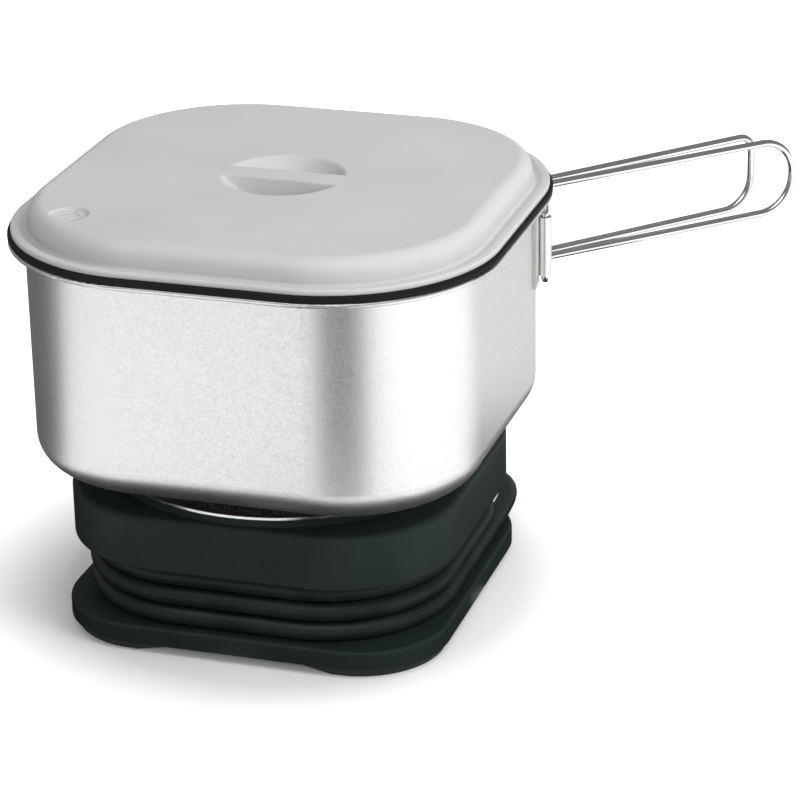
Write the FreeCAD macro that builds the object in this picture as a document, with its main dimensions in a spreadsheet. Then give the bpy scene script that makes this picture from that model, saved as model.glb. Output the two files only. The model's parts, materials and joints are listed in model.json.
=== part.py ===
import FreeCAD, Part
import math
import os
import re

import Sketcher

# Electric travel cooker: a hot plate base with its cord wound round the waist, a square steel
# pot with a folding wire handle, and a moulded lid. Millimetres, +Z up, origin on the table
# under the middle of the base. The handle points out over the corner at +X +Y.

SIZES = {
    # lower housing, from the table up
    "foot_height": 3.0, "foot_inset": 2.0, "foot_width": 9.5,
    "arch_half_top": 17.0, "arch_half_foot": 32.0,
    "flange_height": 6.0, "flange_reach": 8.6, "flange_radius": 28.0, "flange_round": 1.2,
    "floor_wall": 2.4, "core_half": 53.9, "core_radius": 34.5, "core_wall": 2.4,
    # service cover in the floor
    "hatch_radius": 30.0, "cover_seat": 4.2, "cover_wall": 1.2, "cover_gap": 0.2,
    "cover_screw_radius": 1.1, "cover_screw_length": 5.0, "cover_head_radius": 2.0, "cover_head": 0.8,
    "cover_boss_wall": 1.5,
    # upper housing
    "housing_height": 18.0, "housing_reach": 9.1, "housing_spread": 3.5, "housing_wall": 2.4,
    "housing_top_round": 2.0, "housing_low_round": 0.8,
    "collar_height": 2.0, "collar_inset": 2.2, "collar_taper": 1.4, "well_gap": 1.0,
    "boss_inset": 13.4, "boss_radius": 3.6, "screw_radius": 1.5, "screw_head_radius": 2.8,
    "screw_head": 1.6, "screw_bite": 9.0, "screw_clearance": 0.05, "head_clearance": 0.3,
    # heat pan and hot plate
    "pan_inset": 11.5, "pan_lip": 8.5, "pan_wall": 0.8, "pan_depth": 10.0,
    "plate_gap": 2.0, "plate_rise": 6.4, "plate_thickness": 7.9, "plate_round": 1.6,
    "element_radius": 33.0, "element_tube": 3.2, "element_angle": 320.0, "element_gap": 0.1,
    "pin_radius": 1.6, "pin_drop": 5.0, "bead_radius": 2.6, "bead_height": 2.4,
    "stud_radius": 2.5, "stud_grip": 3.8, "stud_tail": 2.5, "nut_radius": 4.6, "nut_height": 3.0,
    "sleeve_radius": 5.0, "fit_clearance": 0.05,
    # thermostat, dial and lamp
    "thermostat_width": 22.0, "thermostat_length": 20.0, "thermostat_height": 13.0, "thermostat_start": 14.0,
    "sensor_radius": 4.0, "sensor_place": 21.0, "sensor_gap": 0.5,
    "shaft_radius": 2.0, "shaft_drop": 3.0, "shaft_clearance": 0.06, "shaft_socket": 8.0,
    "dial_radius": 6.6, "dial_height": 7.0, "dial_gap": 0.5, "dial_grip": 4.5, "flute_radius": 0.9,
    "pointer_width": 1.2, "pointer_depth": 0.6,
    "lamp_radius": 2.6, "lamp_place": 17.0, "lamp_rise": 9.0, "lamp_proud": 1.6,
    "lamp_body_radius": 3.4, "lamp_body_length": 8.0,
    # inside the core
    "block_length": 26.0, "block_width": 12.0, "block_height": 11.0, "block_lift": 3.0,
    "block_screw_radius": 1.6, "block_screw_head": 1.5, "block_screw_pitch": 12.0,
    "fuse_radius": 2.0, "fuse_length": 18.0, "fuse_place": 30.0, "fuse_drop": 3.0,
    "clip_width": 5.0, "clip_wall": 0.9, "lead_radius": 1.1, "lead_bend": 4.0, "lead_rise": 6.0,
    # mains cord, wound round the waist
    "cord_radius": 3.15, "cord_turn_gap": 0.45, "cord_seat_gap": 0.1, "cord_core_gap": 0.15,
    "cord_top_gap": 0.1, "cord_start": 1.0,
    "bush_length": 20.0, "bush_block": 7.0, "bush_neck_radius": 2.6, "bush_neck_length": 5.0,
    "plug_length": 24.0, "plug_width": 25.0, "plug_thickness": 11.0, "plug_round": 2.6,
    "plug_sleeve": 13.0, "plug_sleeve_radius": 4.6,
    "blade_length": 17.5, "blade_width": 6.3, "blade_thickness": 1.5, "blade_pitch": 12.7,
    # pot
    "pot_height": 73.1, "pot_half": 71.7, "pot_radius": 42.4, "pot_wall": 0.8, "pot_low_round": 10.0,
    "rim_height": 1.6, "rim_reach": 6.1, "rim_spread": 9.1, "rim_round": 0.7,
    # handle bracket wrapped round the pot's corner
    "bracket_wall": 1.0, "bracket_height": 23.0, "bracket_drop": 7.0, "bracket_half_angle": 42.0,
    "bracket_gap": 0.05, "knuckle_radius": 2.1, "knuckle_angle": 29.5, "knuckle_sink": 0.2,
    "wire_clearance": 0.06, "rivet_radius": 2.0, "rivet_head": 0.8, "rivet_angle": 14.0,
    # wire handle loops
    "wire_radius": 1.25, "loop_height": 24.8, "loop_lift": 1.2, "far_sag": 0.6,
    "near_offset": 3.0, "near_reach": 96.7, "near_angle": 45.0,
    "far_offset": 3.0, "far_reach": 87.3, "far_angle": 48.0, "far_top_bend": 5.0, "far_low_bend": 11.0,
    "loop_clear": 3.2, "elbow_bend": 6.0, "wire_bend": 2.4, "wire_pin": 8.5,
    # seal and lid
    "seal_height": 2.2, "seal_reach": 0.2, "seal_spread": 0.7, "seal_fit": 0.1, "seal_round": 0.7,
    "lid_flange_inset": 0.8, "lid_flange": 1.8, "lid_flange_round": 0.6,
    "crown_inset": 5.4, "crown_tuck": 4.9, "crown_height": 8.9, "crown_round": 4.6, "cove_round": 1.4,
    "lid_wall": 2.0, "lid_skirt_gap": 1.0, "lid_skirt_wall": 1.8, "lid_skirt": 5.0,
    "scoop_radius": 19.0, "scoop_depth": 7.0, "grip_width": 9.5,
    "vent_inset": 20.6, "vent_radius": 6.2, "vent_depth": 0.7,
    "slot_length": 6.4, "slot_width": 1.3, "slot_pitch": 2.8,
}

LEVELS = {
    "flange_half": "core_half + flange_reach",
    "foot_half": "flange_half - foot_inset",
    "foot_radius": "flange_radius - foot_inset",
    "housing_half": "core_half + housing_reach",
    "housing_radius": "core_radius + housing_spread",
    "collar_foot_radius": "housing_half - collar_inset",
    "collar_top_radius": "collar_foot_radius - collar_taper",
    "boss_offset": "core_half - boss_inset",
    "pan_radius": "housing_half - pan_inset",
    "pan_lip_radius": "pan_radius + pan_lip",
    "plate_radius": "pan_radius - plate_gap",
    "rim_half": "pot_half + rim_reach",
    "rim_radius": "pot_radius + rim_spread",
    "seal_half": "rim_half + seal_reach",
    "seal_radius": "rim_radius + seal_spread",
    "lid_flange_half": "rim_half - lid_flange_inset",
    "lid_flange_radius": "rim_radius",
    "crown_half": "lid_flange_half - crown_inset",
    "crown_radius": "lid_flange_radius - crown_tuck",
    "vent_x": "vent_inset - crown_half",
    "vent_y": "vent_inset - crown_half",
    "flange_top": "foot_height + flange_height",
    "floor_top": "foot_height + floor_wall",
    "cord_pitch": "cord_radius + cord_radius + cord_turn_gap",
    "cord_low": "flange_top + cord_seat_gap + cord_radius",
    "cord_mid": "cord_low + cord_pitch",
    "cord_high": "cord_mid + cord_pitch",
    "cord_half": "core_half + cord_core_gap + cord_radius",
    "cord_corner": "core_radius + cord_core_gap + cord_radius",
    "groove_top": "cord_high + cord_radius + cord_top_gap",
    "core_height": "groove_top - flange_top",
    "deck_top": "groove_top + housing_height",
    "collar_top": "deck_top + collar_height",
    "well_radius": "pan_radius + well_gap",
    "pan_bottom": "collar_top - pan_depth",
    "pan_floor": "pan_bottom + pan_wall",
    "pan_inner": "pan_radius - pan_wall",
    "plate_top": "collar_top + plate_rise",
    "plate_bottom": "plate_top - plate_thickness",
    "element_level": "plate_bottom - element_gap - element_tube",
    "shaft_level": "pan_bottom - shaft_drop",
    "lamp_level": "groove_top + lamp_rise",
    "fuse_level": "pan_bottom - fuse_drop",
    "block_level": "floor_top + block_lift",
    "block_top": "block_level + block_height",
    "block_wall": "core_half - core_wall",
    "plug_level": "plug_thickness / 2",
    "rim_top": "plate_top + pot_height",
    "rim_bottom": "rim_top - rim_height",
    "pot_corner": "pot_half - pot_radius",
    "bracket_inner": "pot_radius + bracket_gap",
    "bracket_outer": "bracket_inner + bracket_wall",
    "bracket_top": "rim_bottom - bracket_drop",
    "bracket_bottom": "bracket_top - bracket_height",
    "knuckle_place": "bracket_outer + knuckle_radius - knuckle_sink",
    "knuckle_height": "loop_height - 2 * wire_bend - 0.2",
    "loop_start": "(rim_half - rim_radius) * 1.41421356 + rim_radius + loop_clear",
    "loop_top": "bracket_top + loop_lift",
    "loop_low": "loop_top - loop_height",
    "knuckle_bottom": "loop_low - far_sag / 2 + wire_bend + 0.1",
    "lid_low": "rim_top + seal_height",
    "lid_top": "lid_low + crown_height",
    "skirt_half": "pot_half - pot_wall - lid_skirt_gap",
    "skirt_radius": "pot_radius - pot_wall - lid_skirt_gap",
    "scoop_ball": "(scoop_radius * scoop_radius + scoop_depth * scoop_depth) / (2 * scoop_depth)",
}

CORNERS = ((1, 1), (-1, 1), (-1, -1), (1, -1))
DIAL_FLUTES = 14
TURNS = 3

# The cord's free end, from the winding round behind the base to the plug. Chosen by hand.
TAIL = [(57.2, 41.0, 12.25), (55.7, 62.4, 12.0), (44.3, 80.7, 8.0), (25.5, 91.1, 5.5), (4.0, 91.1, 5.5)]

doc = FreeCAD.newDocument("travel_cooker")
sizes = doc.addObject("Spreadsheet::Sheet", "sizes")
levels = doc.addObject("Spreadsheet::Sheet", "levels")
pieces = []


def formula(text):
    """An expression on the two sheets, from a formula in their names."""
    def qualify(match):
        word = match.group(0)
        if word in SIZES:
            return "sizes." + word
        return "levels." + word if word in LEVELS else word
    return re.sub(r"[A-Za-z_]\w*", qualify, text)


def own_formula(text):
    """The same, as a cell of the levels sheet writes it."""
    return "=" + formula(text).replace("levels.", "")


def fill_sheets():
    for row, (name, number) in enumerate(SIZES.items(), 1):
        sizes.set(f"A{row}", name)
        sizes.set(f"B{row}", str(number))
        sizes.setAlias(f"B{row}", name)
    doc.recompute()
    for row, name in enumerate(LEVELS, 1):
        levels.set(f"A{row}", name)
        levels.setAlias(f"B{row}", name)
    for row, text in enumerate(LEVELS.values(), 1):
        levels.set(f"B{row}", own_formula(text))
    doc.recompute()


def value(text):
    """The number that a sum of sheet names stands for."""
    total, sign = 0.0, 1.0
    for token in re.findall(r"[+-]|[\w.]+", text):
        if token in "+-":
            sign = 1.0 if token == "+" else -1.0
            continue
        if token in SIZES:
            total += sign * float(sizes.get(token))
        elif token in LEVELS:
            total += sign * float(levels.get(token))
        else:
            total += sign * float(token)
        sign = 1.0
    return total


def bind(thing, **properties):
    for name, text in properties.items():
        thing.setExpression(name.replace("__", "."), formula(text))
    return thing


def place(thing, x="0", y="0", z="0", rotation=None):
    if rotation:
        axis, degrees = rotation
        thing.Placement = FreeCAD.Placement(FreeCAD.Vector(), FreeCAD.Rotation(FreeCAD.Vector(*axis), degrees))
    return bind(thing, Placement__Base__x=x, Placement__Base__y=y, Placement__Base__z=z)


TO_X = ((0, 1, 0), 90)
TO_Y = ((1, 0, 0), -90)
TO_MINUS_Y = ((1, 0, 0), 90)


def box(name, length, width, height, x="0", y="0", z="0"):
    made = bind(doc.addObject("Part::Box", name), Length=length, Width=width, Height=height)
    return place(made, x, y, z)


def cylinder(name, radius, height, x="0", y="0", z="0", rotation=None):
    made = bind(doc.addObject("Part::Cylinder", name), Radius=radius, Height=height)
    return place(made, x, y, z, rotation)


def cone(name, low, high, height, x="0", y="0", z="0", rotation=None):
    made = bind(doc.addObject("Part::Cone", name), Radius1=low, Radius2=high, Height=height)
    return place(made, x, y, z, rotation)


def fuse(name, things):
    made = doc.addObject("Part::MultiFuse", name)
    made.Shapes = things
    made.Refine = True
    return made


def cut(name, base, tools):
    made = doc.addObject("Part::Cut", name)
    made.Base = base
    made.Tool = tools[0] if len(tools) == 1 else fuse(name + "_tools", tools)
    made.Refine = True
    return made


def common(name, base, tool):
    made = doc.addObject("Part::Common", name)
    made.Base = base
    made.Tool = tool
    return made


def group(name, things):
    """Equal pieces that share one node, as separate solids."""
    made = doc.addObject("Part::Compound", name)
    made.Links = things
    return made


def feature(name, shape):
    made = doc.addObject("Part::Feature", name)
    made.Shape = shape
    return made


def finish(thing, label):
    """The thing is a finished piece of the object, under that name."""
    thing.Label = label
    pieces.append(thing)
    return thing


def origin_plane(body, role):
    return next(f for f in body.Origin.OriginFeatures if f.Role == role)


def rounded_square(body, name, half, radius, level):
    """A sketch of a square with round corners about the origin, at a height."""
    sketch = body.newObject("Sketcher::SketchObject", name)
    sketch.AttachmentSupport = [(origin_plane(body, "XY_Plane"), "")]
    sketch.MapMode = "FlatFace"
    bind(sketch, AttachmentOffset__Base__z=level)
    side, bend = value(half), value(radius)
    run = side - bend
    ends = [(-run, -side, run, -side), (side, -run, side, run), (run, side, -run, side), (-side, run, -side, -run)]
    centres = [(run, -run), (run, run), (-run, run), (-run, -run)]
    for k in range(4):
        x0, y0, x1, y1 = ends[k]
        sketch.addGeometry(Part.LineSegment(FreeCAD.Vector(x0, y0), FreeCAD.Vector(x1, y1)), False)
        circle = Part.Circle(FreeCAD.Vector(*centres[k]), FreeCAD.Vector(0, 0, 1), bend)
        start = (k - 1) * math.pi / 2
        sketch.addGeometry(Part.ArcOfCircle(circle, start, start + math.pi / 2), False)
    for k in range(8):
        sketch.addConstraint(Sketcher.Constraint("Tangent", k, 2, (k + 1) % 8, 1))
    for k, way in enumerate(("Horizontal", "Vertical", "Horizontal", "Vertical")):
        sketch.addConstraint(Sketcher.Constraint(way, 2 * k))
    for k in (3, 5, 7):
        sketch.addConstraint(Sketcher.Constraint("Equal", 1, k))
    named = [
        ("corner", Sketcher.Constraint("Radius", 1, bend), radius),
        ("front", Sketcher.Constraint("DistanceY", 0, 1, -1, 1, side), half),
        ("right", Sketcher.Constraint("DistanceX", -1, 1, 2, 1, side), half),
        ("back", Sketcher.Constraint("DistanceY", -1, 1, 4, 1, side), half),
        ("left", Sketcher.Constraint("DistanceX", 6, 1, -1, 1, side), half),
    ]
    for title, constraint, text in named:
        index = sketch.addConstraint(constraint)
        sketch.renameConstraint(index, title)
        sketch.setExpression(f"Constraints.{title}", formula(text))
    return sketch


def edges_at(shape, level, reach=None):
    """Names of the edges that lie flat at a height and, if asked, reach out that far in X."""
    found = []
    for number, edge in enumerate(shape.Edges, 1):
        bounds = edge.BoundBox
        flat = abs(bounds.ZMin - level) < 1e-4 and abs(bounds.ZMax - level) < 1e-4
        if flat and (reach is None or max(bounds.XMax, -bounds.XMin, bounds.YMax, -bounds.YMin) > reach):
            found.append(f"Edge{number}")
    return found


def round_edges(body, name, base, names, radius):
    made = body.newObject("PartDesign::Fillet", name)
    made.Base = (base, names)
    bind(made, Radius=radius)
    doc.recompute()
    body.Tip = made
    return made


def pad(body, name, half, radius, bottom, height):
    made = body.newObject("PartDesign::Pad", name)
    made.Profile = rounded_square(body, name + "_outline", half, radius, bottom)
    bind(made, Length=height)
    doc.recompute()
    return made


def prism(name, half, radius, bottom, height, top_round=None, low_round=None):
    """A padded square with round corners, with its top and bottom edges rounded if asked."""
    body = doc.addObject("PartDesign::Body", name)
    last = pad(body, name + "_pad", half, radius, bottom, height)
    if top_round:
        names = edges_at(last.Shape, value(bottom) + value(height))
        last = round_edges(body, name + "_top_round", last, names, top_round)
    if low_round:
        round_edges(body, name + "_low_round", last, edges_at(last.Shape, value(bottom)), low_round)
    return body


def revolved(name, outline):
    """A ring or dish turned about Z from (radius, height) corners given in sheet names."""
    body = doc.addObject("PartDesign::Body", name)
    sketch = body.newObject("Sketcher::SketchObject", name + "_section")
    sketch.AttachmentSupport = [(origin_plane(body, "XZ_Plane"), "")]
    sketch.MapMode = "FlatFace"
    points = [FreeCAD.Vector(value(r), value(z)) for r, z in outline]
    count = len(points)
    for k in range(count):
        sketch.addGeometry(Part.LineSegment(points[k], points[(k + 1) % count]), False)
    for k in range(count):
        sketch.addConstraint(Sketcher.Constraint("Coincident", k, 2, (k + 1) % count, 1))
    for k, (r, z) in enumerate(outline):
        if r == "0":
            sketch.addConstraint(Sketcher.Constraint("PointOnObject", k, 1, -2))
        else:
            index = sketch.addConstraint(Sketcher.Constraint("DistanceX", -1, 1, k, 1, points[k].x))
            sketch.renameConstraint(index, f"radius{k}")
            sketch.setExpression(f"Constraints.radius{k}", formula(r))
        index = sketch.addConstraint(Sketcher.Constraint("DistanceY", -1, 1, k, 1, points[k].y))
        sketch.renameConstraint(index, f"height{k}")
        sketch.setExpression(f"Constraints.height{k}", formula(z))
    made = body.newObject("PartDesign::Revolution", name + "_turn")
    made.Profile = sketch
    made.ReferenceAxis = (sketch, ["V_Axis"])
    made.Angle = 360
    doc.recompute()
    return body


def bent_run(points, bends=None, share=0.45):
    """Edges of straight runs joined by tangent arcs, and the arcs' radii."""
    points = [FreeCAD.Vector(*p) for p in points]
    edges, radii, here = [], [], points[0]
    for k in range(1, len(points) - 1):
        into = (points[k - 1] - points[k])
        out = (points[k + 1] - points[k])
        shorter = min(into.Length, out.Length)
        into.normalize()
        out.normalize()
        half_turn = (math.pi - into.getAngle(out)) / 2
        radius = bends[k - 1] if bends else share * shorter / math.tan(half_turn)
        reach = radius * math.tan(half_turn)
        first, last = points[k] + into * reach, points[k] + out * reach
        inward = into + out
        inward.normalize()
        middle = points[k] + inward * (radius / math.cos(half_turn) - radius)
        edges.append(Part.LineSegment(here, first).toShape())
        edges.append(Part.Arc(first, middle, last).toShape())
        radii.append(radius)
        here = last
    edges.append(Part.LineSegment(here, points[-1]).toShape())
    return edges, radii


def tube(edges, radius):
    """A round solid along joined edges."""
    wire = Part.Wire(edges)
    first = edges[0]
    start = first.valueAt(first.FirstParameter)
    heading = first.tangentAt(first.FirstParameter)
    ring = Part.Wire([Part.Circle(start, heading, radius).toShape()])
    return wire.makePipeShell([ring], True, False)


def signed(name, sign):
    return name if sign > 0 else "-" + name


def quadrant_places(offset):
    return [(signed(offset, sx), signed(offset, sy)) for sx, sy in CORNERS]


def spread(angles, radius):
    """Places round a circle, as formulas for X and Y."""
    return [(f"{radius} * cos({a} deg)", f"{radius} * sin({a} deg)") for a in angles]


COVER_ANGLES = (90, 210, 330)
PIN_ANGLES = (-70, -110)


def lower_housing():
    """Flange, floor and spool core in one moulding, with its screw posts."""
    flange = prism("flange", "flange_half", "flange_radius", "foot_height", "flange_height", "flange_round")
    core = prism("core", "core_half", "core_radius", "flange_top", "core_height")
    room = prism("core_room", "core_half - core_wall", "core_radius - core_wall", "floor_top",
                 "core_height + flange_height")
    hollow = cut("lower_hollow", fuse("lower_solid", [flange, core]), [room])
    posts, holes = [], []
    for n, (x, y) in enumerate(quadrant_places("boss_offset"), 1):
        posts.append(cylinder(f"post_{n}", "boss_radius", "groove_top - foot_height", x, y, "foot_height"))
        holes.append(cylinder(f"post_hole_{n}", "screw_radius + screw_clearance", "groove_top", x, y))
        holes.append(cylinder(f"head_hole_{n}", "screw_head_radius + head_clearance", "screw_head",
                              x, y, "foot_height"))
    for n, (x, y) in enumerate(spread(COVER_ANGLES, "(hatch_radius + cover_seat / 2)"), 1):
        posts.append(cylinder(f"cover_boss_{n}", "cover_screw_radius + cover_boss_wall",
                              "cover_screw_length - cover_wall + 1", x, y, "foot_height + cover_wall"))
        holes.append(cylinder(f"cover_hole_{n}", "cover_screw_radius + screw_clearance", "cover_screw_length",
                              x, y, "foot_height"))
    hatch = cylinder("hatch", "hatch_radius", "flange_top")
    seat = cylinder("hatch_seat", "hatch_radius + cover_seat + cover_gap", "cover_wall", z="foot_height")
    neck = cylinder("cord_hole", "bush_neck_radius + fit_clearance", "core_wall * 3", "-core_half - core_wall",
                    "cord_start + bush_length - bush_block / 2", "cord_high", TO_X)
    base = cut("lower_open", hollow, [hatch])
    whole = cut("lower_housing", fuse("lower_posts", [base, *posts]), [seat, neck, *holes])
    finish(whole, "lower_housing")


def service_cover():
    disc = cylinder("cover_disc", "hatch_radius + cover_seat", "cover_wall", z="foot_height")
    places = spread(COVER_ANGLES, "(hatch_radius + cover_seat / 2)")
    holes = [cylinder(f"cover_disc_hole_{n}", "cover_screw_radius + screw_clearance", "flange_top", x, y)
             for n, (x, y) in enumerate(places, 1)]
    finish(cut("service_cover", disc, holes), "service_cover")
    screws = []
    for n, (x, y) in enumerate(places, 1):
        shank = cylinder(f"cover_shank_{n}", "cover_screw_radius", "cover_screw_length", x, y, "foot_height")
        head = cylinder(f"cover_head_{n}", "cover_head_radius", "cover_head", x, y, "foot_height - cover_head")
        screws.append(fuse(f"cover_screw_{n}", [shank, head]))
    finish(group("cover_screws", screws), "cover_screws")


def feet():
    """Rubber corner feet with ramped ends, cut from one ring by the arches between them."""
    outer = prism("foot_outer", "foot_half", "foot_radius", "0", "foot_height")
    inner = prism("foot_inner", "foot_half - foot_width", "foot_radius - foot_width", "0", "foot_height")
    ring = cut("foot_ring", outer, [inner])
    arches = []
    for n, spin in enumerate((0, 90), 1):
        arch = bind(doc.addObject("Part::Wedge", f"arch_{n}"), Xmin="-arch_half_foot", Xmax="arch_half_foot",
                    X2min="-arch_half_top", X2max="arch_half_top", Ymin="0", Ymax="foot_height",
                    Zmin="-flange_half", Zmax="flange_half", Z2min="-flange_half", Z2max="flange_half")
        upright = FreeCAD.Rotation(FreeCAD.Vector(1, 0, 0), 90)
        arch.Placement = FreeCAD.Placement(FreeCAD.Vector(), FreeCAD.Rotation(FreeCAD.Vector(0, 0, 1), spin) * upright)
        arches.append(arch)
    arched = cut("foot_arched", ring, arches)
    for (sx, sy), side in zip(CORNERS, ("back_right", "back_left", "front_left", "front_right")):
        x, y = ("0" if s > 0 else "-flange_half" for s in (sx, sy))
        quarter = box(f"foot_quarter_{side}", "flange_half", "flange_half", "foot_height", x, y, "0")
        finish(common(f"foot_{side}", arched, quarter), f"foot_{side}")


def upper_housing():
    """Deep band with a raised round collar for the heat pan."""
    band = prism("band", "housing_half", "housing_radius", "groove_top", "housing_height",
                 "housing_top_round", "housing_low_round")
    collar = cone("collar", "collar_foot_radius", "collar_top_radius", "collar_height", z="deck_top")
    room = prism("band_room", "housing_half - housing_wall", "housing_radius - housing_wall",
                 "groove_top + housing_wall", "housing_height - housing_wall - housing_wall")
    mouth = prism("band_mouth", "core_half - core_wall", "core_radius - core_wall", "groove_top", "housing_wall")
    well = cylinder("well", "well_radius", "housing_height", z="collar_top - housing_height")
    shell = cut("band_shell", fuse("band_solid", [band, collar]), [room, mouth, well])
    bosses, holes = [], []
    for n, (x, y) in enumerate(quadrant_places("boss_offset"), 1):
        bosses.append(cylinder(f"boss_{n}", "boss_radius", "housing_height - housing_wall", x, y, "groove_top"))
        holes.append(cylinder(f"boss_hole_{n}", "screw_radius + screw_clearance", "screw_bite + 1", x, y,
                              "groove_top"))
    holes.append(cylinder("shaft_hole", "shaft_radius + dial_gap", "housing_wall * 3",
                          "0", "housing_half - housing_wall * 2", "shaft_level", TO_Y))
    holes.append(cylinder("lamp_hole", "lamp_radius + fit_clearance", "housing_wall * 3",
                          "lamp_place", "housing_half - housing_wall * 2", "lamp_level", TO_Y))
    finish(cut("upper_housing", fuse("band_bosses", [shell, *bosses]), holes), "upper_housing")


def housing_screws():
    screws = []
    for n, (x, y) in enumerate(quadrant_places("boss_offset"), 1):
        shank = cylinder(f"shank_{n}", "screw_radius", "groove_top + screw_bite - foot_height - screw_head",
                         x, y, "foot_height + screw_head")
        head = cylinder(f"head_{n}", "screw_head_radius", "screw_head", x, y, "foot_height")
        screws.append(fuse(f"housing_screw_{n}", [shank, head]))
    finish(group("housing_screws", screws), "housing_screws")


def heat_pan():
    """Thin steel dish whose lip lies on the collar."""
    bore = "stud_radius + fit_clearance"
    dish = revolved("pan_dish", [
        (bore, "pan_bottom"), ("pan_radius", "pan_bottom"), ("pan_radius", "collar_top"),
        ("pan_lip_radius", "collar_top"), ("pan_lip_radius", "collar_top + pan_wall"),
        ("pan_inner", "collar_top + pan_wall"), ("pan_inner", "pan_floor"), (bore, "pan_floor")])
    holes = [cylinder(f"bead_hole_{n}", "bead_radius + fit_clearance", "pan_wall * 4", x, y, "pan_bottom - pan_wall")
             for n, (x, y) in enumerate(spread(PIN_ANGLES, "element_radius"), 1)]
    holes.append(cylinder("sensor_hole", "sensor_radius + sensor_gap", "pan_wall * 4",
                          "0", "sensor_place", "pan_bottom - pan_wall"))
    finish(cut("heat_pan", dish, holes), "heat_pan")


def hot_plate():
    bore = "stud_radius + fit_clearance"
    hole_top = "plate_bottom + stud_grip + fit_clearance"
    body = revolved("hot_plate", [
        ("0", hole_top), (bore, hole_top), (bore, "plate_bottom"), ("plate_radius", "plate_bottom"),
        ("plate_radius", "plate_top"), ("0", "plate_top")])
    last = body.Tip
    names = edges_at(last.Shape, value("plate_top"))
    round_edges(body, "plate_edge", last, names, "plate_round")
    finish(body, "hot_plate")


def heating_element():
    """Sheathed ring under the plate, with two cold pins through ceramic beads."""
    ring = bind(doc.addObject("Part::Torus", "element_ring"), Radius1="element_radius", Radius2="element_tube",
                Angle3="element_angle")
    start = (360 - value("element_angle")) / 2 - 90
    place(ring, z="element_level", rotation=((0, 0, 1), start))
    pins, beads = [], []
    for n, (x, y) in enumerate(spread(PIN_ANGLES, "element_radius"), 1):
        pins.append(cylinder(f"cold_pin_{n}", "pin_radius", "element_level - pan_bottom + pin_drop",
                             x, y, "pan_bottom - pin_drop"))
        bead = cylinder(f"bead_body_{n}", "bead_radius", "bead_height", x, y, "pan_floor - bead_height / 2")
        bore = cylinder(f"bead_bore_{n}", "pin_radius + fit_clearance", "bead_height * 2", x, y,
                        "pan_floor - bead_height")
        beads.append(cut(f"bead_{n}", bead, [bore]))
    finish(fuse("heating_element", [ring, *pins]), "heating_element")
    finish(group("ceramic_beads", beads), "ceramic_beads")


def plate_fixing():
    """Stud, spacer sleeve and nut that carry the plate on the pan."""
    finish(cylinder("plate_stud", "stud_radius", "plate_bottom + stud_grip - pan_bottom + nut_height + stud_tail",
                    z="pan_bottom - nut_height - stud_tail"), "plate_stud")
    bore = "stud_radius + fit_clearance"
    finish(revolved("spacer_sleeve", [(bore, "pan_floor"), ("sleeve_radius", "pan_floor"),
                                      ("sleeve_radius", "plate_bottom"), (bore, "plate_bottom")]), "spacer_sleeve")
    hexagon = bind(doc.addObject("Part::Prism", "nut_hexagon"), Circumradius="nut_radius", Height="nut_height")
    hexagon.Polygon = 6
    place(hexagon, z="pan_bottom - nut_height")
    hole = cylinder("nut_hole", bore, "nut_height * 2", z="pan_bottom - nut_height")
    finish(cut("stud_nut", hexagon, [hole]), "stud_nut")


def thermostat():
    case = box("thermostat_case", "thermostat_width", "thermostat_length", "thermostat_height",
               "-thermostat_width / 2", "thermostat_start", "pan_bottom - thermostat_height")
    socket = cylinder("shaft_socket", "shaft_radius + shaft_clearance", "shaft_socket", "0",
                      "thermostat_start + thermostat_length - shaft_socket", "shaft_level", TO_Y)
    finish(cut("thermostat_body", case, [socket]), "thermostat_body")
    finish(cylinder("thermostat_sensor", "sensor_radius", "plate_bottom - pan_bottom", "0", "sensor_place",
                    "pan_bottom"), "thermostat_sensor")


def dial():
    """Fluted knob on the back face, on the thermostat's shaft."""
    face = "housing_half + dial_gap"
    finish(cylinder("thermostat_shaft", "shaft_radius",
                    "housing_half + dial_gap + dial_grip - thermostat_start - thermostat_length + shaft_socket - 0.3",
                    "0", "thermostat_start + thermostat_length - shaft_socket + 0.3", "shaft_level", TO_Y),
           "thermostat_shaft")
    knob = cylinder("knob", "dial_radius", "dial_height", "0", face, "shaft_level", TO_Y)
    tools = [cylinder("knob_bore", "shaft_radius + fit_clearance", "dial_grip + fit_clearance", "0", face,
                      "shaft_level", TO_Y)]
    for n in range(DIAL_FLUTES):
        angle = f"{360 / DIAL_FLUTES * (n + 0.5)} deg"
        tools.append(cylinder(f"flute_{n + 1}", "flute_radius", "dial_height", f"dial_radius * sin({angle})",
                              "housing_half + dial_gap + 1.5", f"shaft_level + dial_radius * cos({angle})", TO_Y))
    tools.append(box("pointer", "pointer_width", "pointer_depth * 2", "dial_radius * 0.75", "-pointer_width / 2",
                     "housing_half + dial_gap + dial_height - pointer_depth", "shaft_level + dial_radius * 0.15"))
    finish(cut("control_dial", knob, tools), "control_dial")


def pilot_lamp():
    finish(cylinder("lamp_lens", "lamp_radius", "housing_wall + lamp_proud", "lamp_place",
                    "housing_half - housing_wall", "lamp_level", TO_Y), "lamp_lens")
    finish(cylinder("lamp_body", "lamp_body_radius", "lamp_body_length", "lamp_place",
                    "housing_half - housing_wall - lamp_body_length", "lamp_level", TO_Y), "lamp_body")


def terminal_block():
    block = box("terminal_block", "block_width", "block_length", "block_height", "-block_wall",
                "-block_length / 2", "block_level")
    finish(block, "terminal_block")
    screws = [cylinder(f"block_screw_{n}", "block_screw_radius", "block_screw_head", "-block_wall + block_width * 0.72",
                       f"{s} * block_screw_pitch / 2", "block_top") for n, s in ((1, -1), (2, 1))]
    finish(group("terminal_screws", screws), "terminal_screws")


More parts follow.
